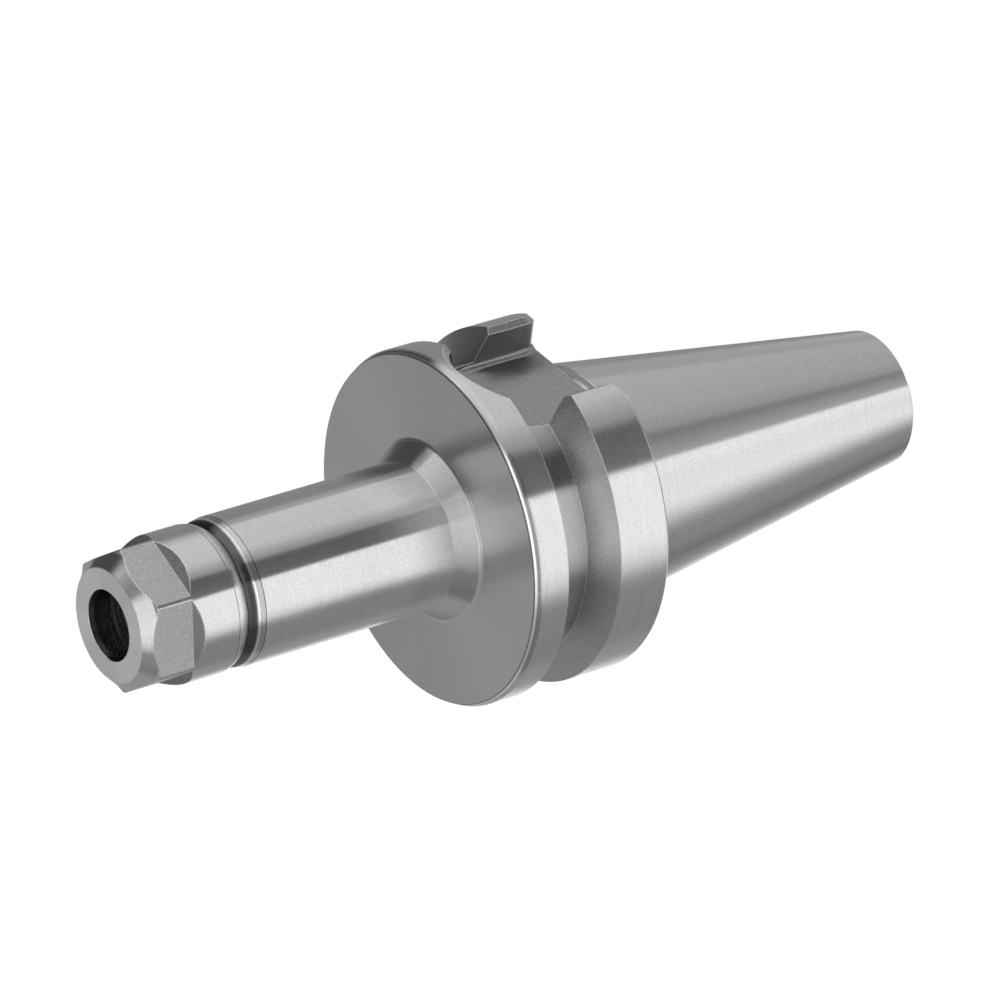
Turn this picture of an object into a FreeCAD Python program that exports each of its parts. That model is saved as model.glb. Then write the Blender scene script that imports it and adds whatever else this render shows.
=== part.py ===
import FreeCAD, Part
import os
import re
import Sketcher
from FreeCAD import Placement, Rotation, Vector

# Collet chuck holder: a size 30 steep-taper shank, a flange with a gripper groove and two key
# slots, and a long slim nose that carries a clamping nut with six spanner flats.
# The Z axis is the spindle axis, zero at the taper's gauge line, with the nut's face on top.
# The key slots lie on the X axis. All sizes are in millimetres and degrees.

SIZES = (
    ("gauge_diameter", 31.75, "taper diameter at the gauge line"),
    ("taper_rise", 7, "diameter lost over taper_run"),
    ("taper_run", 24, "length over which the taper loses taper_rise"),
    ("taper_length", 48.4, "gauge line to the tail face"),
    ("tail_chamfer", 0.5, "edge break of the tail face"),
    ("relief_depth", 0.675, "depth of the grinding relief below the gauge line's radius"),
    ("relief_step_length", 0.4, "length of the step from the taper into the relief"),
    ("flange_rear", 2, "gauge line to the flange's rear face"),
    ("flange_front", 22.6, "gauge line to the flange's front face"),
    ("flange_rise", 7.125, "height of the flange above the gauge line's radius"),
    ("rear_break", 0.45, "edge break of the flange's rear face"),
    ("front_break_length", 1.0, "edge break of the front face, along the axis"),
    ("front_break_depth", 0.5, "edge break of the front face, across"),
    ("groove_centre", 13.6, "gauge line to the middle of the gripper groove"),
    ("groove_mouth", 8.07, "gripper groove width at the flange's outside"),
    ("groove_depth", 4, "depth of the gripper groove"),
    ("groove_angle", 60, "angle between the groove's two flanks"),
    ("slot_width", 16.1, "key slot width"),
    ("slot_floor_rise", 0.425, "height of the key slot's floor above the gauge line's radius"),
    ("slot_end", 20.05, "gauge line to the key slot's round end"),
    ("slot_mouth_length", 2.1, "length of the rounded way in at the slot's open end"),
    ("slot_mouth_round", 2.4, "radius of that rounding"),
    ("slot_corner", 0.9, "radius between the key slot's floor and wall"),
    ("slot_break", 0.9, "edge break round the key slot"),
    ("foot_diameter", 23.8, "root cone's foot where it meets the flange face"),
    ("foot_width", 0.4, "width of that foot, a flatter ring than the cone"),
    ("foot_rise", 0.2, "rise of that foot along the axis"),
    ("cone_length", 2.7, "root cone with its foot, along the axis"),
    ("nose_diameter", 19.1, "nose outside diameter"),
    ("nose_end", 53.25, "gauge line to the end of the full nose diameter"),
    ("nose_taper", 0.85, "length of the slight taper at the nose's front"),
    ("shoulder_edge_diameter", 18.78, "nose diameter where the rounding starts"),
    ("shoulder_round", 1.95, "radius of the rounding at the nose's front"),
    ("shoulder_face_diameter", 17.7, "diameter of the shoulder face under the nut"),
    ("shoulder_end", 55.45, "gauge line to the shoulder face"),
    ("thread_diameter", 14, "fine thread between spigot and nut"),
    ("thread_clearance", 0.05, "gap between spigot and nut thread, on the radius"),
    ("thread_neck_diameter", 12.8, "run-out neck behind the spigot thread"),
    ("thread_neck_length", 1.6, "length of the run-out neck"),
    ("spigot_end", 64.4, "gauge line to the spigot's front face"),
    ("spigot_chamfer", 0.5, "chamfer at the start of the spigot thread"),
    ("socket_mouth_diameter", 11.5, "collet socket at the spigot's front face"),
    ("socket_half_angle", 8, "angle of the collet socket's wall to the axis"),
    ("shank_bore_diameter", 7.2, "clearance bore behind the collet socket"),
    ("shank_bore_depth", 36, "depth of the clearance bore from the spigot's face"),
    ("drill_half_angle", 59, "half of a drill's point angle"),
    ("pilot_diameter", 12.5, "pilot bore for the pull stud"),
    ("pilot_depth", 7, "depth of the pilot bore"),
    ("pilot_chamfer", 0.5, "chamfer at the mouth of the pilot bore"),
    ("tail_thread_diameter", 12, "pull stud thread"),
    ("tail_thread_depth", 24, "depth of full thread from the tail face"),
    ("tail_drill_diameter", 10.2, "drilled hole under the pull stud thread"),
    ("tail_drill_depth", 34, "depth of the drilled hole"),
    ("nut_face", 70, "gauge line to the nut's front face"),
    ("nut_gap", 0.1, "gap between the nut's rear face and the shoulder"),
    ("nut_diameter", 18.9, "nut outside diameter"),
    ("nut_rear_diameter", 17.7, "nut diameter at its rear face"),
    ("nut_rear_length", 1.6, "length of the rounding at the nut's rear"),
    ("nut_rear_round", 2.4, "radius of the rounding at the nut's rear"),
    ("nut_rear_step", 0.05, "fine step where that rounding starts"),
    ("nut_flats", 16.6, "width across the six flats"),
    ("flat_length", 6.7, "length of a flat, from the nut's face"),
    ("flat_runout", 1.05, "length of the sloping end of a flat"),
    ("nut_face_diameter", 14.5, "flat ring on the nut's face, outside"),
    ("nut_cone_diameter", 17.9, "diameter where the nut's front cone ends"),
    ("nut_corner_fall", 0.15, "fall from the cone's end to the outside"),
    ("nut_hole_diameter", 9.1, "hole in the nut's face"),
    ("nut_hole_length", 0.9, "straight length of that hole"),
    ("seat_half_angle", 30, "angle of the nut's collet seat to the axis"),
    ("seat_diameter", 11.6, "wide end of the nut's collet seat"),
    ("lip_diameter", 10.6, "hole in the extraction lip"),
    ("lip_width", 0.6, "thickness of the extraction lip"),
    ("lip_offset", 0.45, "how far the lip's second hole is off centre"),
    ("recess_diameter", 12.8, "recess behind the extraction lip"),
    ("recess_width", 1.0, "length of that recess"),
    ("nut_thread_chamfer", 0.6, "chamfer at the start of the nut's thread"),
    ("nut_angle", 41.2, "turn of the nut's first flat from the X axis"),
    ("cut_margin", 2, "how far a cut's outline reaches past the metal"),
)

doc = FreeCAD.newDocument("ColletChuckHolder")
sheet = doc.addObject("Spreadsheet::Sheet", "Sizes")
for row, (alias, value, meaning) in enumerate(SIZES, start=1):
    sheet.set(f"A{row}", meaning)
    sheet.set(f"B{row}", str(value))
    sheet.setAlias(f"B{row}", alias)
doc.recompute()
ALIASES = {alias for alias, value, meaning in SIZES}
FULL_ANGLE = 360
FLANGE_RADIUS = "(gauge_diameter / 2 + flange_rise)"
SLOT_FLOOR = "(gauge_diameter / 2 + slot_floor_rise)"
MOUTH_FLARE = "(slot_mouth_round - sqrt(slot_mouth_round ^ 2 - slot_mouth_length ^ 2))"
NUT_REAR = "shoulder_end + nut_gap"


def sized(expression):
    """The expression with each size's name pointed at its cell in the sheet."""
    return re.sub(r"[a-z_]+", lambda word: "Sizes." + word[0] if word[0] in ALIASES else word[0],
                  expression)


def number(expression):
    """The expression's value with the sheet's present sizes."""
    return float(sheet.evalExpression(sized(expression)))


def origin_feature(body, role):
    """One of the body's own origin planes or axes."""
    return next(item for item in body.Origin.OriginFeatures if item.Role == role)


def hold(sketch, kind, geometry, point, expression):
    """Hold one point at a distance from the origin, across or along the sketch.

    In a sketch, -1 is the axis across with the origin as its point 1, and -2 the axis along."""
    if expression == "0":
        axis = -2 if kind == "DistanceX" else -1
        sketch.addConstraint(Sketcher.Constraint("PointOnObject", geometry, point, axis))
        return
    place = sketch.addConstraint(
        Sketcher.Constraint(kind, -1, 1, geometry, point, number(expression)))
    sketch.setExpression(f"Constraints[{place}]", sized(expression))


def rounded_edge(start, end, radius):
    """Arc from start to end: anticlockwise, or clockwise where the radius is negative."""
    chord = end - start
    inward = Vector(-chord.y, chord.x, 0).normalize()
    if radius < 0:
        inward = -inward
    rise = (radius ** 2 - (chord.Length / 2) ** 2) ** 0.5
    centre = start + chord / 2 + inward * rise
    return Part.Arc(start, centre - inward * abs(radius), end)


def new_sketch(body, name, role, offset="0"):
    """Empty sketch on one of the body's origin planes, moved along its normal."""
    sketch = body.newObject("Sketcher::SketchObject", name)
    sketch.AttachmentSupport = [(origin_feature(body, role), "")]
    sketch.MapMode = "FlatFace"
    if offset != "0":
        sketch.setExpression("AttachmentOffset.Base.z", sized(offset))
    return sketch


def outline(body, name, role, corners, arcs=None):
    """Closed sketch through the corners, whose places are expressions of the sheet's sizes.

    arcs maps a corner's number to the radius of the arc that leaves it, with a minus sign
    where that arc turns clockwise."""
    sketch = new_sketch(body, name, role)
    arcs = arcs or {}
    points = [Vector(number(across), number(along), 0) for across, along in corners]
    for index, start in enumerate(points):
        end = points[(index + 1) % len(points)]
        if index in arcs:
            edge = rounded_edge(start, end, number(arcs[index]))
        else:
            edge = Part.LineSegment(start, end)
        sketch.addGeometry(edge, False)
    ends = [(2, 1) if arcs.get(index, "").startswith("-") else (1, 2)
            for index in range(len(corners))]
    for index, (first, last) in enumerate(ends):
        following = (index + 1) % len(corners)
        sketch.addConstraint(Sketcher.Constraint(
            "Coincident", index, last, following, ends[following][0]))
    for index, (across, along) in enumerate(corners):
        hold(sketch, "DistanceX", index, ends[index][0], across)
        hold(sketch, "DistanceY", index, ends[index][0], along)
    for index, signed_radius in arcs.items():
        radius = signed_radius.lstrip("-")
        place = sketch.addConstraint(Sketcher.Constraint("Radius", index, number(radius)))
        sketch.setExpression(f"Constraints[{place}]", sized(radius))
    return sketch


def turned(body, kind, name, sketch):
    """Full turn of the sketch about the spindle axis, added to the body or cut from it."""
    feature = body.newObject(kind, name)
    feature.Profile = sketch
    feature.ReferenceAxis = (sketch, ["V_Axis"])
    feature.Angle = FULL_ANGLE
    return feature


def copied_round(body, name, cut, copies):
    """The cut repeated evenly about the spindle axis."""
    pattern = body.newObject("PartDesign::PolarPattern", name)
    pattern.Originals = [cut]
    pattern.Axis = (origin_feature(body, "Z_Axis"), [""])
    pattern.Angle = FULL_ANGLE
    pattern.Occurrences = copies
    body.Tip = pattern
    return pattern


def edges_where(feature, test):
    """Names of the feature's edges whose start, middle and end all pass the test."""
    names = []
    for index, edge in enumerate(feature.Shape.Edges, start=1):
        low, high = edge.ParameterRange
        samples = [edge.valueAt(low + share * (high - low)) for share in (0, 0.5, 1)]
        if all(test(point) for point in samples):
            names.append(f"Edge{index}")
    return names


def finished_edges(body, kind, name, base, edges, size_name, size):
    """Fillet or chamfer on the named edges of the base feature."""
    feature = body.newObject(kind, name)
    feature.Base = (base, edges)
    feature.setExpression(size_name, sized(size))
    body.Tip = feature
    return feature


def near(first, second, tolerance=0.001):
    return abs(first - second) < tolerance


def turned_blank(body):
    """Taper, relief, flange, root cone, nose, rounded shoulder and spigot in one turning."""
    taper_loss = "taper_rise / taper_run / 2"
    corners = (
        ("0", "-taper_length"),
        (f"gauge_diameter / 2 - taper_length * {taper_loss} - tail_chamfer", "-taper_length"),
        (f"gauge_diameter / 2 - (taper_length - tail_chamfer) * {taper_loss}",
         "tail_chamfer - taper_length"),
        ("gauge_diameter / 2", "0"),
        ("gauge_diameter / 2 - relief_depth", "relief_step_length"),
        ("gauge_diameter / 2 - relief_depth", "flange_rear"),
        (f"{FLANGE_RADIUS} - rear_break", "flange_rear"),
        (FLANGE_RADIUS, "flange_rear + rear_break"),
        (FLANGE_RADIUS, "flange_front - front_break_length"),
        (f"{FLANGE_RADIUS} - front_break_depth", "flange_front"),
        ("foot_diameter / 2", "flange_front"),
        ("foot_diameter / 2 - foot_width", "flange_front + foot_rise"),
        ("nose_diameter / 2", "flange_front + cone_length"),
        ("nose_diameter / 2", "nose_end"),
        ("shoulder_edge_diameter / 2", "nose_end + nose_taper"),
        ("shoulder_face_diameter / 2", "shoulder_end"),
        ("thread_neck_diameter / 2", "shoulder_end"),
        ("thread_neck_diameter / 2", "shoulder_end + thread_neck_length"),
        ("thread_diameter / 2",
         "shoulder_end + thread_neck_length + (thread_diameter - thread_neck_diameter) / 2"),
        ("thread_diameter / 2", "spigot_end - spigot_chamfer"),
        ("thread_diameter / 2 - spigot_chamfer", "spigot_end"),
        ("0", "spigot_end"),
    )
    shoulder_rounding = {14: "shoulder_round"}
    sketch = outline(body, "BlankOutline", "XZ_Plane", corners, shoulder_rounding)
    return turned(body, "PartDesign::Revolution", "TurnedBlank", sketch)


def gripper_groove(body):
    """V groove round the flange, for the tool changer's gripper."""
    flank_slope = "tan(groove_angle / 2)"
    floor_half = f"(groove_mouth / 2 - groove_depth * {flank_slope})"
    mouth_half = f"(groove_mouth / 2 + cut_margin * {flank_slope})"
    floor_radius = f"{FLANGE_RADIUS} - groove_depth"
    outside = f"{FLANGE_RADIUS} + cut_margin"
    corners = (
        (floor_radius, f"groove_centre - {floor_half}"),
        (outside, f"groove_centre - {mouth_half}"),
        (outside, f"groove_centre + {mouth_half}"),
        (floor_radius, f"groove_centre + {floor_half}"),
    )
    sketch = outline(body, "GrooveOutline", "XZ_Plane", corners)
    return turned(body, "PartDesign::Groove", "GripperGroove", sketch)


def collet_socket(body):
    """Collet socket, and behind it the clearance bore for the tool's shank."""
    socket_length = ("(socket_mouth_diameter - shank_bore_diameter) / 2"
                     " / tan(socket_half_angle)")
    corners = (
        ("0", "spigot_end"),
        ("0", "spigot_end - shank_bore_depth - shank_bore_diameter / 2 / tan(drill_half_angle)"),
        ("shank_bore_diameter / 2", "spigot_end - shank_bore_depth"),
        ("shank_bore_diameter / 2", f"spigot_end - {socket_length}"),
        ("socket_mouth_diameter / 2", "spigot_end"),
    )
    sketch = outline(body, "SocketOutline", "XZ_Plane", corners)
    return turned(body, "PartDesign::Groove", "ColletSocket", sketch)


def tail_bore(body):
    """Pilot bore, threaded bore and drilled hole for the pull stud."""
    corners = (
        ("0", "-taper_length"),
        ("pilot_diameter / 2 + pilot_chamfer", "-taper_length"),
        ("pilot_diameter / 2", "pilot_chamfer - taper_length"),
        ("pilot_diameter / 2", "pilot_depth - taper_length"),
        ("tail_thread_diameter / 2",
         "pilot_depth + (pilot_diameter - tail_thread_diameter) / 2 - taper_length"),
        ("tail_thread_diameter / 2", "tail_thread_depth - taper_length"),
        ("tail_drill_diameter / 2",
         "tail_thread_depth + (tail_thread_diameter - tail_drill_diameter) / 2 - taper_length"),
        ("tail_drill_diameter / 2", "tail_drill_depth - taper_length"),
        ("0", "tail_drill_depth + tail_drill_diameter / 2 / tan(drill_half_angle) - taper_length"),
    )
    sketch = outline(body, "TailBoreOutline", "XZ_Plane", corners)
    return turned(body, "PartDesign::Groove", "TailBore", sketch)


def key_slots(body):
    """Two key slots from the flange's rear, each with a rounded way in and a half-round end."""
    side = "slot_width / 2"
    wide = f"{side} + {MOUTH_FLARE}"
    start = "flange_rear - cut_margin"
    bend = "slot_end - slot_width / 2"
    corners = (
        (wide, start),
        (wide, "flange_rear"),
        (side, "flange_rear + slot_mouth_length"),
        (side, bend),
        ("0", "slot_end"),
        (f"-{side}", bend),
        (f"-{side}", "flange_rear + slot_mouth_length"),
        (f"-({wide})", "flange_rear"),
        (f"-({wide})", start),
    )
    arcs = {1: "-slot_mouth_round", 3: side, 4: side, 6: "-slot_mouth_round"}
    sketch = outline(body, "SlotOutline", "YZ_Plane", corners, arcs)
    sketch.setExpression("AttachmentOffset.Base.z", sized(SLOT_FLOOR))
    slot = body.newObject("PartDesign::Pocket", "KeySlot")
    slot.Profile = sketch
    slot.Reversed = True
    slot.setExpression("Length", sized("flange_rise - slot_floor_rise + cut_margin"))
    return copied_round(body, "KeySlots", slot, copies=2)


def finish_holder_edges(body, base):
    """Radius round each key slot's floor, and broken edges on the flange round each slot."""
    floor = number(SLOT_FLOOR)
    rear = number("flange_rear")
    slot_end = number("slot_end")
    flange_radius = number(FLANGE_RADIUS)
    wide = number(f"slot_width / 2 + {MOUTH_FLARE}")

    doc.recompute()
    floor_edges = edges_where(
        base, lambda p: near(abs(p.x), floor) and not (near(p.y, 0) and near(p.z, rear)))
    corners = finished_edges(
        body, "PartDesign::Fillet", "SlotCorners", base, floor_edges, "Radius", "slot_corner")

    doc.recompute()
    land_edges = edges_where(
        corners, lambda p: near(Vector(p.x, p.y, 0).Length, flange_radius)
        and abs(p.y) < wide + 0.001 and abs(p.x) > floor and rear < p.z < slot_end + 0.001)
    return finished_edges(
        body, "PartDesign::Chamfer", "SlotEdgeBreaks", corners, land_edges, "Size", "slot_break")


def holder_body():
    """The holder, turned, milled and ground from one piece of hardened steel."""
    body = doc.addObject("PartDesign::Body", "holder_body")
    body.Label = "holder_body"
    turned_blank(body)
    gripper_groove(body)
    collet_socket(body)
    tail_bore(body)
    slots = key_slots(body)
    finish_holder_edges(body, slots)
    return body


def nut_blank(body):
    """The nut's outside: rounded rear, plain round part and front cone."""
    cone_end = "nut_face - (nut_cone_diameter - nut_face_diameter) / 2"
    corners = (
        ("0", NUT_REAR),
        ("nut_rear_diameter / 2", NUT_REAR),
        ("nut_diameter / 2 - nut_rear_step", f"{NUT_REAR} + nut_rear_length"),
        ("nut_diameter / 2", f"{NUT_REAR} + nut_rear_length"),
        ("nut_diameter / 2", f"{cone_end} - nut_corner_fall"),
        ("nut_cone_diameter / 2", cone_end),
        ("nut_face_diameter / 2", "nut_face"),
        ("0", "nut_face"),
    )
    rear_rounding = {1: "nut_rear_round"}
    sketch = outline(body, "NutOutline", "XZ_Plane", corners, rear_rounding)
    return turned(body, "PartDesign::Revolution", "NutBlank", sketch)


def nut_flats(body):
    """Six spanner flats, each with the sloping end that the cutter leaves."""
    flat_end = "nut_face - flat_length"
    slope_run = "flat_runout / (nut_diameter - nut_flats) * 2"
    outside = "nut_diameter / 2 + cut_margin"
    corners = (
        ("nut_flats / 2", flat_end),
        (outside, f"{flat_end} - ({outside} - nut_flats / 2) * {slope_run}"),
        (outside, "nut_face + cut_margin"),
        ("nut_flats / 2", "nut_face + cut_margin"),
    )
    sketch = outline(body, "FlatOutline", "XZ_Plane", corners)
    flat = body.newObject("PartDesign::Pocket", "SpannerFlat")
    flat.Profile = sketch
    flat.Midplane = True
    flat.setExpression("Length", sized("nut_diameter"))
    return copied_round(body, "SpannerFlats", flat, copies=6)


def nut_inside(body):
    """Face hole, collet seat, extraction lip, recess and thread, from the face to the rear."""
    thread_radius = "(thread_diameter / 2 + thread_clearance)"
    seat_length = "(seat_diameter - nut_hole_diameter) / 2 / tan(seat_half_angle)"
    seat_end = f"(nut_face - nut_hole_length - {seat_length})"
    lip_end = f"({seat_end} - lip_width)"
    recess_end = f"({lip_end} - recess_width)"
    corners = (
        ("0", NUT_REAR),
        (f"{thread_radius} + nut_thread_chamfer", NUT_REAR),
        (thread_radius, f"{NUT_REAR} + nut_thread_chamfer"),
        (thread_radius, recess_end),
        ("recess_diameter / 2", recess_end),
        ("recess_diameter / 2", lip_end),
        ("lip_diameter / 2", lip_end),
        ("lip_diameter / 2", seat_end),
        ("seat_diameter / 2", seat_end),
        ("nut_hole_diameter / 2", "nut_face - nut_hole_length"),
        ("nut_hole_diameter / 2", "nut_face"),
        ("0", "nut_face"),
    )
    sketch = outline(body, "NutInsideOutline", "XZ_Plane", corners)
    turned(body, "PartDesign::Groove", "NutInside", sketch)

    lip_sketch = new_sketch(body, "LipOutline", "XY_Plane", lip_end)
    lip_radius = "seat_diameter / 2 - lip_offset / 2"
    centre = Vector(0, number("lip_offset"), 0)
    circle = Part.Circle(centre, Vector(0, 0, 1), number(lip_radius))
    lip_sketch.addGeometry(circle, False)
    hold(lip_sketch, "DistanceX", 0, 3, "0")
    hold(lip_sketch, "DistanceY", 0, 3, "lip_offset")
    place = lip_sketch.addConstraint(Sketcher.Constraint("Radius", 0, number(lip_radius)))
    lip_sketch.setExpression(f"Constraints[{place}]", sized(lip_radius))
    lip = body.newObject("PartDesign::Pocket", "OffCentreLip")
    lip.Profile = lip_sketch
    lip.Reversed = True
    lip.setExpression("Length", sized("lip_width"))
    body.Tip = lip


def clamping_nut():
    """The clamping nut, one piece of hardened steel."""
    body = doc.addObject("PartDesign::Body", "clamping_nut")
    body.Label = "clamping_nut"
    nut_blank(body)
    nut_flats(body)
    nut_inside(body)
    body.Placement = Placement(Vector(0, 0, 0), Rotation(Vector(0, 0, 1), number("nut_angle")))
    return body


def check_document():
    """Stop if any feature failed, or if a cut took nothing away."""
    for item in doc.Objects:
        if "Invalid" in item.State or "Error" in item.State:
            raise RuntimeError(f"{item.Name} is {item.State}")
    for item in doc.Objects:
        base = getattr(item, "BaseFeature", None)
        if base is None or item.TypeId.endswith("Fillet"):
            continue
        if item.Shape.Volume > base.Shape.Volume - 0.001:
            raise RuntimeError(f"{item.Name} cuts nothing")


nodes = [holder_body(), clamping_nut()]
doc.recompute()
check_document()
os.makedirs("parts", exist_ok=True)
for node in nodes:
    if node.Shape.isNull() or not node.Shape.isValid():
        raise RuntimeError(f"{node.Label} has no valid shape")
    node.Shape.exportStep(f"parts/{node.Label}.step")
    print(node.Label, round(node.Shape.Volume, 2), "cubic mm,", len(node.Shape.Faces), "faces")
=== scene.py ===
import math

import bpy
import numpy as np
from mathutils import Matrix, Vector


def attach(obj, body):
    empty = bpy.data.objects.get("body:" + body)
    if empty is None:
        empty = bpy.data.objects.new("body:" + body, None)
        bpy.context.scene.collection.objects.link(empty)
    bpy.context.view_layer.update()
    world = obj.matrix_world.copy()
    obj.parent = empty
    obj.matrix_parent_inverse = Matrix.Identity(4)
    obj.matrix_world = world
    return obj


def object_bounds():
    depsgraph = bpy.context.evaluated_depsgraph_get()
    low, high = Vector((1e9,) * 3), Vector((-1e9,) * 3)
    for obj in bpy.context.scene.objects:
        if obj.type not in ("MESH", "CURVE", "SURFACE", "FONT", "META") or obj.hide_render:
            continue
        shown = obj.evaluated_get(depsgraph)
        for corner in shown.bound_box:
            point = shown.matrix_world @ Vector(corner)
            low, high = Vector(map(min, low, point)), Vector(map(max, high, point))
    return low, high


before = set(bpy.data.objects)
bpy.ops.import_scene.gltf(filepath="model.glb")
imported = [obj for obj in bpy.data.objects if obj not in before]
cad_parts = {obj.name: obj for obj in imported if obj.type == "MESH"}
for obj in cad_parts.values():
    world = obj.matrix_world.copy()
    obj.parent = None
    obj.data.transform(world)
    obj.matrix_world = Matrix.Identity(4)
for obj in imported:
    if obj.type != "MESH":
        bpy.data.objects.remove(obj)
cad_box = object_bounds()


# Holder body: one piece of hardened steel. Taper, flange and nose are ground round the spindle
# axis, so their scratches run round it; key slots and gripper groove are milled and duller.

MM = 0.001


class Shader:
    """A material's or world's node tree, with short calls for the nodes used here."""

    def __init__(self, tree):
        self.tree = tree
        self.tree.nodes.clear()

    def node(self, kind, **settings):
        """New node with its settings made."""
        made = self.tree.nodes.new(kind)
        for name, value in settings.items():
            setattr(made, name, value)
        return made

    def put(self, socket, value):
        """Join a socket to another node's output, or set it to a plain value."""
        if isinstance(value, bpy.types.NodeSocket):
            self.tree.links.new(value, socket)
        else:
            socket.default_value = value

    def math(self, operation, *values):
        """Output of one math node."""
        made = self.node("ShaderNodeMath", operation=operation)
        for socket, value in zip(made.inputs, values):
            self.put(socket, value)
        return made.outputs[0]

    def step(self, value, low, high, bottom=0.0, top=1.0):
        """Smooth rise from bottom to top while the value goes from low to high."""
        made = self.node("ShaderNodeMapRange", interpolation_type="SMOOTHSTEP")
        for socket, given in zip(made.inputs, (value, low, high, bottom, top)):
            self.put(socket, given)
        return made.outputs[0]

    def between(self, value, low, high, edge):
        """One where the value lies from low to high, falling to nought over the edge."""
        rise = self.step(value, low - edge, low)
        fall = self.step(value, high, high + edge, 1.0, 0.0)
        return self.math("MULTIPLY", rise, fall)

    def mixed(self, share, first, second):
        """Plain mix of two numbers: first where the share is nought, second where it is one."""
        made = self.node("ShaderNodeMix", data_type="FLOAT")
        for index, value in ((0, share), (2, first), (3, second)):
            self.put(made.inputs[index], value)
        return made.outputs[0]

    def noise(self, vector, scale, detail, roughness):
        """Output of a noise texture at the vector's place."""
        made = self.node("ShaderNodeTexNoise")
        self.put(made.inputs["Vector"], vector)
        self.put(made.inputs["Scale"], scale)
        self.put(made.inputs["Detail"], detail)
        self.put(made.inputs["Roughness"], roughness)
        return made.outputs["Fac"]

    def combined(self, x, y, z):
        """One vector or colour of three numbers."""
        made = self.node("ShaderNodeCombineXYZ")
        for socket, value in zip(made.inputs, (x, y, z)):
            self.put(socket, value)
        return made.outputs[0]


def place_nodes(shader):
    """Place on the piece in millimetres, x, y, z and distance from the axis, and its normal."""
    coordinates = shader.node("ShaderNodeTexCoord")
    parts = shader.node("ShaderNodeSeparateXYZ")
    shader.put(parts.inputs[0], coordinates.outputs["Object"])
    x, y, z = (shader.math("MULTIPLY", parts.outputs[axis], 1 / MM) for axis in range(3))
    across = shader.math("SQRT", shader.math(
        "ADD", shader.math("MULTIPLY", x, x), shader.math("MULTIPLY", y, y)))
    normal = shader.node("ShaderNodeSeparateXYZ")
    shader.put(normal.inputs[0], coordinates.outputs["Normal"])
    return {"x": x, "y": y, "z": z, "across": across,
            "object": coordinates.outputs["Object"],
            "normal": [normal.outputs[axis] for axis in range(3)]}


# Painted highlight: the mask where a near-white grey is laid along every edge, concave ones too.
def painted_edge_highlight(shader, softened):
    """Rising to one where the softened normal differs from the plain one, which is at edges."""
    plain = shader.node("ShaderNodeNewGeometry").outputs["Normal"]
    likeness = shader.node("ShaderNodeVectorMath", operation="DOT_PRODUCT")
    shader.put(likeness.inputs[0], plain)
    shader.put(likeness.inputs[1], softened)
    return shader.step(likeness.outputs["Value"], 0.995, 0.95)


# Scratches are counted a millimetre. Those across the axis count backwards, so that they add to
# those along it on a cone that narrows towards the nut. Their breaks are counted round the axis.
GROUND_GREY = 0.64
# Grey of the painted highlight laid along the edges.
EDGE_HIGHLIGHT_GREY = 0.97
SCRATCHES_ALONG = 13.0
SCRATCHES_ACROSS = -17.0
SCRATCH_BREAKS = 2.5
GRAINS_A_METRE = 3900.0


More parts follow.
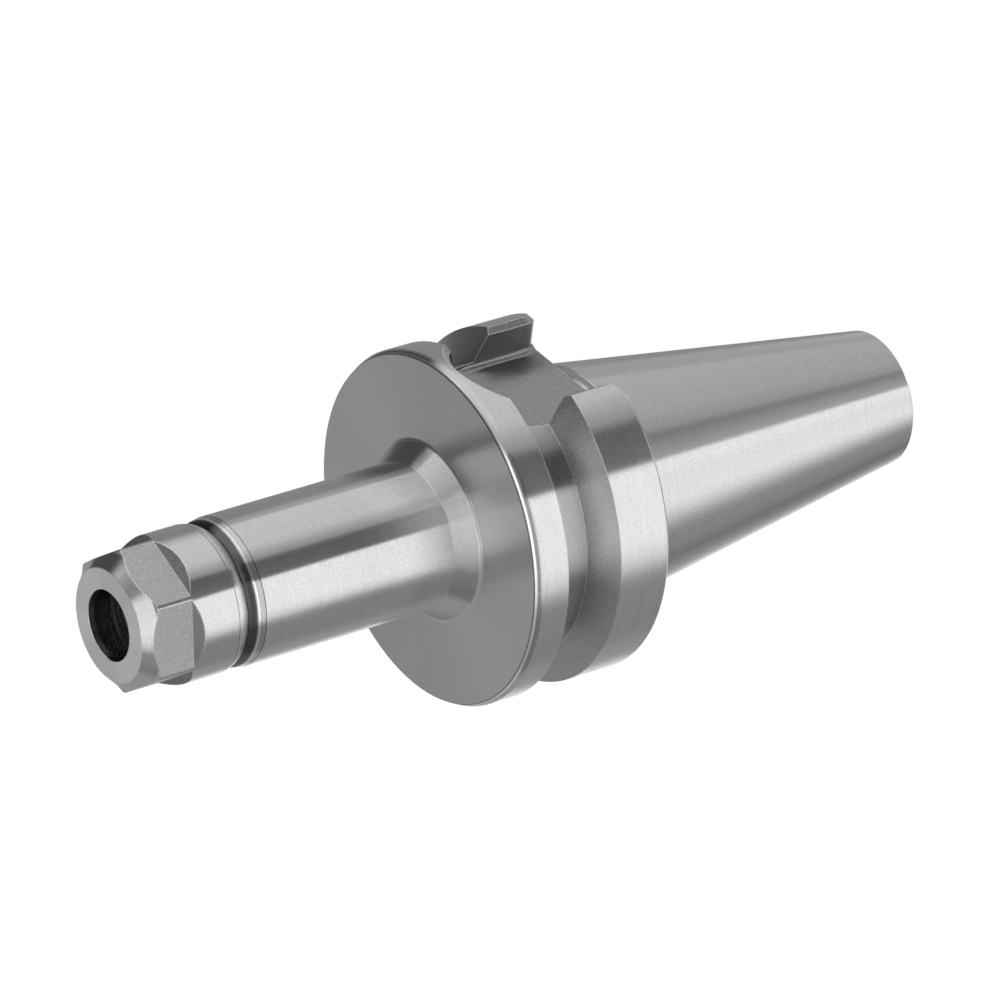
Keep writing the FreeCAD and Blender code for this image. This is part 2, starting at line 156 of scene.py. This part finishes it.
def steel(name, milled_where, tones, lines=(), rounded=None, edge=0.14):
    """Ground steel with fine scratches round the axis, and speckled and duller where milled.

    Scratches are a noise that changes fast along and across the axis and slowly round it.
    tones are pairs of a mask and the grey that it lays over the ground metal, milled finish and
    painted light and shade. Edges are rounded by the edge's radius, with a painted highlight laid
    over them, and lines, painted highlight and painted shade, are more such
    pairs, laid over the edges."""
    material = bpy.data.materials.new(name)
    material.use_nodes = True
    shader = Shader(material.node_tree)
    place = place_nodes(shader)
    milled = milled_where(shader, place)
    ring = shader.math("ADD", shader.math("MULTIPLY", place["z"], SCRATCHES_ALONG),
                       shader.math("MULTIPLY", place["across"], SCRATCHES_ACROSS))
    round_x, round_y = (
        shader.math("MULTIPLY", shader.math("DIVIDE", place[side], place["across"]), SCRATCH_BREAKS)
        for side in "xy")
    scratch = shader.noise(shader.combined(ring, round_x, round_y), 1.0, 3.0, 0.6)
    grain = shader.noise(place["object"], GRAINS_A_METRE, 2.0, 0.7)
    surface = shader.node("ShaderNodeBsdfPrincipled")
    shader.put(surface.inputs["Metallic"], 1.0)
    tone = GROUND_GREY
    for where, grey in tones:
        tone = shader.mixed(where(shader, place), tone, grey)
    # Painted highlight along every edge, found where the bevel's softened normal differs from the
    # plain one.
    edges = shader.node("ShaderNodeBevel", samples=6)
    shader.put(edges.inputs["Radius"], edge * MM)
    tone = shader.mixed(painted_edge_highlight(shader, edges.outputs[0]), tone, EDGE_HIGHLIGHT_GREY)
    for where, grey in lines:
        tone = shader.mixed(where(shader, place), tone, grey)
    fine_speckle = shader.step(grain, 0.3, 0.7, 0.945, 1.055)
    milled_speckle = shader.step(grain, 0.3, 0.7, 0.76, 1.24)
    tone = shader.math("MULTIPLY", tone, shader.mixed(milled, fine_speckle, milled_speckle))
    shader.put(surface.inputs["Base Color"], shader.combined(tone, tone, tone))
    faced = shader.step(shader.math("ABSOLUTE", place["normal"][2]), 0.9, 0.97)
    ground_roughness = shader.mixed(faced, shader.step(scratch, 0.3, 0.7, 0.20, 0.26), 0.25)
    milled_roughness = shader.step(grain, 0.3, 0.7, 0.38, 0.50)
    shader.put(surface.inputs["Roughness"],
               shader.mixed(milled, ground_roughness, milled_roughness))
    shader.put(surface.inputs["Anisotropic"], 1.0)
    shader.put(surface.inputs["Anisotropic Rotation"], 0.25)
    tangent = shader.node("ShaderNodeTangent", direction_type="RADIAL", axis="Z")
    shader.put(surface.inputs["Tangent"], tangent.outputs[0])
    normal = rounded(shader, place, edges.outputs[0]) if rounded else edges.outputs[0]
    bump = shader.node("ShaderNodeBump")
    shader.put(bump.inputs["Strength"], shader.mixed(milled, 0.025, 0.5))
    shader.put(bump.inputs["Distance"], 0.02 * MM)
    shader.put(bump.inputs["Height"], shader.mixed(milled, scratch, grain))
    shader.put(bump.inputs["Normal"], normal)
    shader.put(surface.inputs["Normal"], bump.outputs[0])
    output = shader.node("ShaderNodeOutputMaterial")
    shader.put(output.inputs[0], surface.outputs[0])
    return material


def band(start, end, edge, across=None):
    """Mask of a band round the axis, from start to end along it, fading over the edge.

    Given across, it also rises from nought to one between those two distances from the axis."""
    def mask(shader, place):
        shown = shader.between(place["z"], start, end, edge)
        if across is None:
            return shown
        return shader.math("MULTIPLY", shown, shader.step(place["across"], *across))
    return mask


def reach(along, across=None):
    """Mask that rises from nought to one between two heights.

    Given across, it also does so between those two distances from the axis."""
    def mask(shader, place):
        shown = shader.step(place["z"], *along)
        if across is None:
            return shown
        return shader.math("MULTIPLY", shader.step(place["across"], *across), shown)
    return mask


def sideways(shader, place):
    """How far a surface's normal leans round the axis: nought on every turned surface."""
    nx, ny = place["normal"][:2]
    lean = shader.math("SUBTRACT", shader.math("MULTIPLY", ny, place["x"]),
                       shader.math("MULTIPLY", nx, place["y"]))
    return shader.math("ABSOLUTE", shader.math("DIVIDE", lean, place["across"]))


# The slot floors' distance from the axis, and the box round each floor, a little larger than it.
SLOT_FLOOR = 16.3
FLOOR_BOX_SIDE = 8.3
FLOOR_BOX_START = 2.01
FLOOR_BOX_END = 20.1


def in_key_slots(shader, place):
    """One in the key slots: on their flat floors, and where the normal leans round the axis."""
    flat = shader.between(
        shader.math("ABSOLUTE", place["x"]), SLOT_FLOOR - 0.02, SLOT_FLOOR + 0.02, 0.01)
    in_slot = shader.math(
        "MULTIPLY", shader.between(place["y"], -FLOOR_BOX_SIDE, FLOOR_BOX_SIDE, 0.01),
        shader.between(place["z"], FLOOR_BOX_START, FLOOR_BOX_END, 0.01))
    floor = shader.math("MULTIPLY", flat, in_slot)
    wall = shader.step(sideways(shader, place), 0.08, 0.15)
    return shader.math("MAXIMUM", floor, wall)


in_groove = band(9.6, 17.6, 0.02, across=(22.96, 22.92))


def holder_milled(shader, place):
    """One in the key slots, and a little in the gripper groove."""
    return shader.math("MAXIMUM", in_key_slots(shader, place),
                       shader.math("MULTIPLY", in_groove(shader, place), 0.3))


# Painted light: the nose's grey is raised near the flange, where the flange darkens its reflection.
def nose_root_painted_light(shader, place):
    """Rising to one where the nose nears the flange."""
    return shader.math("MULTIPLY", shader.step(place["z"], 38.0, 25.0),
                       shader.between(place["z"], 25.3, 40.0, 0.01))


# The tail bore from its mouth on, laid darker as painted shade; the flange's front edge break,
# with a painted highlight along its crest and a painted shade line at its foot; on the nose a
# fine painted shade line where its slight front taper starts, a painted highlight on the edge
# that ends it, and the rounding beyond, laid dark as painted shade in the gap under the nut.
tail_bore_painted_shade = reach(along=(-14.0, -14.2), across=(6.9, 6.8))
on_front_break = band(21.62, 22.58, 0.02, across=(22.3, 22.4))
break_crest_painted_highlight = band(22.2, 22.42, 0.03, across=(22.4, 22.5))
break_foot_painted_shade = band(22.52, 22.61, 0.03, across=(22.4, 22.45))
nose_line_painted_shade = band(53.3, 53.38, 0.03)
nose_edge_painted_highlight = band(54.12, 54.3, 0.04)
nose_rounding_painted_shade = reach(along=(54.35, 54.6))

BREAK_START = 21.6
BREAK_LEAN = math.radians(4)
BREAK_LEAN_A_MM = math.radians(60)
BREAK_LAST_LEAN = math.radians(36)


def rounded_front_break(shader, place, normal):
    """Normal turned from nearly radial to nearly axial over the flange's front edge break.

    It leans 4 degrees and 60 more a millimetre for three quarters of the break, then stays, and
    over the last fifth it leans on by 36 degrees, which gives the dark line beside the face."""
    share = shader.math("SUBTRACT", place["z"], BREAK_START)
    lean = shader.math("MULTIPLY_ADD", shader.math("MINIMUM", share, 0.75),
                       BREAK_LEAN_A_MM, BREAK_LEAN)
    lean = shader.math("ADD", lean, shader.step(share, 0.8, 1.0, 0.0, BREAK_LAST_LEAN))
    radial = shader.math("DIVIDE", shader.math("COSINE", lean), place["across"])
    turned_to = shader.combined(shader.math("MULTIPLY", place["x"], radial),
                                shader.math("MULTIPLY", place["y"], radial),
                                shader.math("SINE", lean))
    mix = shader.node("ShaderNodeMix", data_type="VECTOR")
    shader.put(mix.inputs["Factor"], on_front_break(shader, place))
    vectors = [socket for socket in mix.inputs if socket.type == "VECTOR"]
    shader.put(vectors[-2], normal)
    shader.put(vectors[-1], turned_to)
    return next(socket for socket in mix.outputs if socket.type == "VECTOR")


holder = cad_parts["holder_body"]
holder.data.materials.clear()
holder.data.materials.append(steel(
    "holder_steel_ground", holder_milled,
    ((in_groove, 0.49), (in_key_slots, 0.42), (nose_root_painted_light, 0.95), (tail_bore_painted_shade, 0.4)),
    ((on_front_break, 0.64), (break_crest_painted_highlight, 1.0), (break_foot_painted_shade, 0.3),
     (nose_rounding_painted_shade, 0.15), (nose_line_painted_shade, 0.2), (nose_edge_painted_highlight, 0.95)),
    rounded_front_break))


# Pull stud thread: the M12 thread cut in the tail bore, part of the holder. Its ridge stands
# 0.88 mm in from the bore's wall, so its crests are nearly level with the drilled hole above.

def thread_ridge(name, wall, crest, pitch, bottom, top, steps_a_turn=64):
    """Closed ridge of an inside thread, wound up the wall from bottom to top.

    Turn a gives the height bottom + pitch * a / 360. Across the ridge run four corners: two just
    inside the wall, pitch * 7/16 either side of its middle, and two on the crest, pitch / 8
    either side. Over the first and last half turn the crest sinks into the wall."""
    turns = (top - bottom) / pitch
    count = int(turns * steps_a_turn) + 1
    along = np.linspace(0, turns, count)
    fade = np.clip(np.minimum(along, turns - along) / 0.5, 0, 1)
    middle = bottom + pitch * along
    sunk = 0.02
    foot_radius = np.full(count, wall + sunk)
    crest_radius = wall - (wall - crest) * fade
    corners = ((foot_radius, -pitch * 7 / 16), (crest_radius, -pitch / 8),
               (crest_radius, pitch / 8), (foot_radius, pitch * 7 / 16))
    angle = 2 * np.pi * along
    rows = [np.stack((radius * np.cos(angle), radius * np.sin(angle), middle + shift), axis=1)
            for radius, shift in corners]
    points = np.stack(rows, axis=1).reshape(-1, 3) * MM
    corner = np.arange(4)
    beside = (corner + 1) % 4
    start = 4 * np.arange(count - 1)[:, None]
    sides = np.stack((start + corner, start + beside, start + 4 + beside, start + 4 + corner),
                     axis=2)
    ends = np.array([[3, 2, 1, 0], [0, 1, 2, 3]])
    ends[1] += 4 * (count - 1)
    faces = np.concatenate((sides.reshape(-1, 4), ends))
    mesh = bpy.data.meshes.new(name)
    mesh.from_pydata(points.tolist(), [], faces.tolist())
    piece = bpy.data.objects.new(name, mesh)
    bpy.context.scene.collection.objects.link(piece)
    return piece


def nowhere(shader, place):
    """Nought all over, for a piece with nothing milled on it."""
    return 0.0


tail_thread = thread_ridge(
    "tail_thread", wall=6.0, crest=5.12, pitch=1.75, bottom=-40.3, top=-25.3)
# The thread is laid darker like the bore, as painted shade.
tail_thread.data.materials.append(steel(
    "holder_steel_thread", nowhere, ((tail_bore_painted_shade, 0.4),)))
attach(tail_thread, "holder")


# Clamping nut: one turned piece with six milled flats, duller and speckled, and a round part
# behind them as finely turned as the holder's nose.

FLAT_FROM_AXIS = 8.3
FLAT_ENDS_FROM = 62.0
FLAT_ENDS_TO = 63.36


# The sloping ends are milled like the flats; the nut also lays them darker, as painted shade.
def on_flat_ends(shader, place):
    """One on the sloping ends of the flats."""
    return shader.math("MULTIPLY", shader.between(place["z"], FLAT_ENDS_FROM, FLAT_ENDS_TO, 0.02),
                       shader.step(place["normal"][2], 0.4, 0.5))


def on_nut_flats(shader, place):
    """One on the spanner flats and their sloping ends.

    A flat is where the normal's level part, times the place, gives the flat's own distance."""
    nx, ny, nz = place["normal"]
    level = shader.math("SQRT", shader.math(
        "ADD", shader.math("MULTIPLY", nx, nx), shader.math("MULTIPLY", ny, ny)))
    depth = shader.math("DIVIDE", shader.math(
        "ADD", shader.math("MULTIPLY", nx, place["x"]), shader.math("MULTIPLY", ny, place["y"])),
        shader.math("MAXIMUM", level, 0.01))
    flat = shader.math(
        "MULTIPLY", shader.between(depth, FLAT_FROM_AXIS - 0.03, FLAT_FROM_AXIS + 0.03, 0.02),
        shader.step(nz, 0.3, 0.2))
    return shader.math("MAXIMUM", flat, on_flat_ends(shader, place))


# The painted shade line where the nut's rear rounding starts, its front face, laid lighter as
# painted light, and all that is inside it, laid darker as painted shade.
rear_step_painted_shade = band(57.12, 57.2, 0.03)
nut_face_painted_light = reach(along=(69.98, 69.99))
inside_nut_painted_shade = reach(along=(69.98, 69.96), across=(7.2, 7.1))

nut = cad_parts["clamping_nut"]
nut.data.materials.clear()
nut.data.materials.append(steel(
    "nut_steel_turned", on_nut_flats,
    ((on_nut_flats, 0.62), (on_flat_ends, 0.36), (nut_face_painted_light, 0.95), (inside_nut_painted_shade, 0.5)),
    ((rear_step_painted_shade, 0.08),), edge=0.22))


# Studio: a wide pale floor, just under the tail face, that is white to the camera, soft panels
# and dark flags all round, and the camera.

FLOOR_HALF = 3.0
FLOOR_GAP = 0.0002

floor_mesh = bpy.data.meshes.new("floor")
floor_mesh.from_pydata(
    [(-FLOOR_HALF, -FLOOR_HALF, 0), (FLOOR_HALF, -FLOOR_HALF, 0),
     (FLOOR_HALF, FLOOR_HALF, 0), (-FLOOR_HALF, FLOOR_HALF, 0)], [], [(0, 1, 2, 3)])
floor = bpy.data.objects.new("floor", floor_mesh)
floor.location.z = cad_box[0][2] - FLOOR_GAP
bpy.context.scene.collection.objects.link(floor)
floor_material = bpy.data.materials.new("pale_floor")
floor_material.use_nodes = True
paint = Shader(floor_material.node_tree)
rays = paint.node("ShaderNodeLightPath")
pale = paint.node("ShaderNodeBsdfDiffuse")
paint.put(pale.inputs[0], (0.85, 0.85, 0.85, 1))
white = paint.node("ShaderNodeEmission")
choice = paint.node("ShaderNodeMixShader")
paint.put(choice.inputs[0], rays.outputs["Is Camera Ray"])
paint.put(choice.inputs[1], pale.outputs[0])
paint.put(choice.inputs[2], white.outputs[0])
paint.put(paint.node("ShaderNodeOutputMaterial").inputs[0], choice.outputs[0])
floor_mesh.materials.append(floor_material)

# The steel mirrors the panels below it and not the floor.
floor.visible_glossy = False

CAMERA_TURN = math.radians(-50.74)
EVEN_GLOW = 0.5

world = bpy.data.worlds.new("studio")
bpy.context.scene.world = world
world.use_nodes = True
sky = Shader(world.node_tree)
direction = sky.node("ShaderNodeSeparateXYZ")
sky.put(direction.inputs[0], sky.node("ShaderNodeTexCoord").outputs["Generated"])
turn = sky.math("ARCTAN2", direction.outputs[1], direction.outputs[0])
turn = sky.math("WRAP", sky.math("SUBTRACT", turn, CAMERA_TURN), math.pi, -math.pi)
turn = sky.math("DIVIDE", turn, math.radians(1))
height = sky.math("DIVIDE", sky.math("ARCSINE", direction.outputs[2]), math.radians(1))

# Panels and flags over the even glow, later ones in front of earlier ones: degrees round from
# the camera, degrees above level, how soft the edges are both ways, and the strength.
soft_panels = (
    ((-200, 200), (-90, -70), (1, 12), 0.3),
    ((-15, 75), (-90, -70), (15, 12), 1.3),
    ((-45, 0), (-56, -14), (35, 12), 1.8),
    ((-140, -118), (-58, -46), (8, 8), 0.15),
    ((-200, -160), (-58, -30), (14, 12), 1.6),
    ((150, 200), (-58, -46), (14, 8), 2.6),
    ((-108, -68), (-20, 28), (12, 10), 0.25),
    ((-62, -8), (6, 30), (12, 12), 0.35),
    ((2, 28), (-50, 44), (3, 6), 0.15),
    ((54, 92), (-34, 32), (26, 12), 1.15),
    ((-78, 36), (50, 72), (12, 9), 2.0),
    ((66, 148), (50, 74), (16, 8), 0.2),
    ((112, 150), (-16, 74), (12, 10), 0.1),
    ((-200, 200), (82, 91), (1, 10), 0.15),
)
strength = EVEN_GLOW
for turn_range, height_range, (turn_edge, height_edge), glow in soft_panels:
    on_panel = sky.math("MULTIPLY", sky.between(turn, *turn_range, turn_edge),
                        sky.between(height, *height_range, height_edge))
    strength = sky.mixed(on_panel, strength, glow)

# To the camera the world is plain white, which is the background.
light = sky.node("ShaderNodeBackground")
seen = sky.node("ShaderNodeLightPath").outputs["Is Camera Ray"]
sky.put(light.inputs["Strength"], sky.mixed(seen, strength, 1.0))
sky.put(sky.node("ShaderNodeOutputWorld").inputs[0], light.outputs[0])

camera_data = bpy.data.cameras.new("camera")
camera_data.sensor_width = 36
camera_data.lens = 268.97
camera_data.clip_start = 0.05
camera_data.clip_end = 20
camera = bpy.data.objects.new("camera", camera_data)
camera.location = (0.50023, -0.61201, 0.51343)
camera.rotation_euler = [math.radians(angle) for angle in (-24.2681, 53.9548, -79.9543)]
bpy.context.scene.collection.objects.link(camera)
bpy.context.scene.camera = camera
bpy.context.scene.view_settings.view_transform = "Standard"
